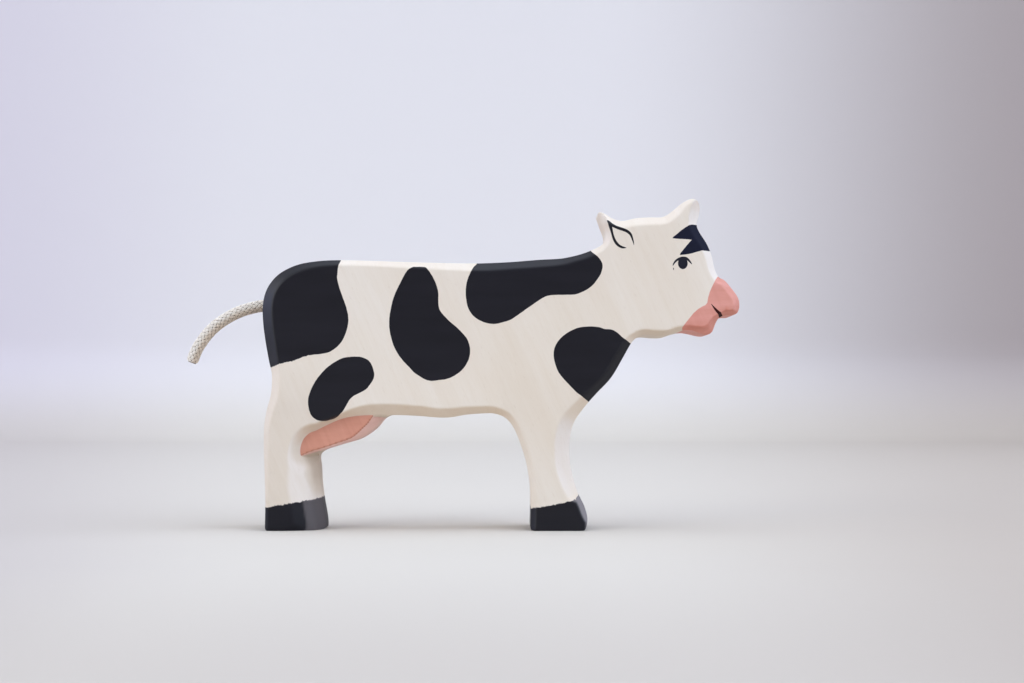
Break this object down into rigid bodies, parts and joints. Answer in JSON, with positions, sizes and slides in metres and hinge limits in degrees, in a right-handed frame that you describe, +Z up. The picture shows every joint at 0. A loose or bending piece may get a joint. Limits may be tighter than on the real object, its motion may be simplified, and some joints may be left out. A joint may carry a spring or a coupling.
{
  "type": "toy cow",
  "caption": "Flat carved wooden toy cow that stands on its hooves, with painted patches and a flexible braided cord tail.",
  "frame": {"origin": "on the floor under the middle of the carved figure", "axes": "+X along the figure towards the nose, +Y through the plank's thickness to the figure's left side, +Z up"},
  "size_m": [0.1762, 0.026, 0.1042],
  "materials": {
    "painted_maple": "pale maple with a thin matt oil finish, hand-painted in black and pink with the grain showing through",
    "cotton_cord": "undyed braided cotton, matt, with beige flecks",
    "dried_glue": "cured wood glue, translucent cream"
  },
  "bodies": {
    "figure": {"carved_body": "painted_maple", "tail_root": "cotton_cord", "tail_glue": "dried_glue"},
    "tail": {"tail_cord": "cotton_cord"}
  },
  "joints": [
    {"name": "tail_flex", "type": "hinge", "parent": "figure", "child": "tail", "pos_m": [-0.07714, 0, 0.07142], "axis": [0, 1, 0], "range_deg": [-30, 40], "stiffness_Nm_per_rad": 0.005}
  ]
}
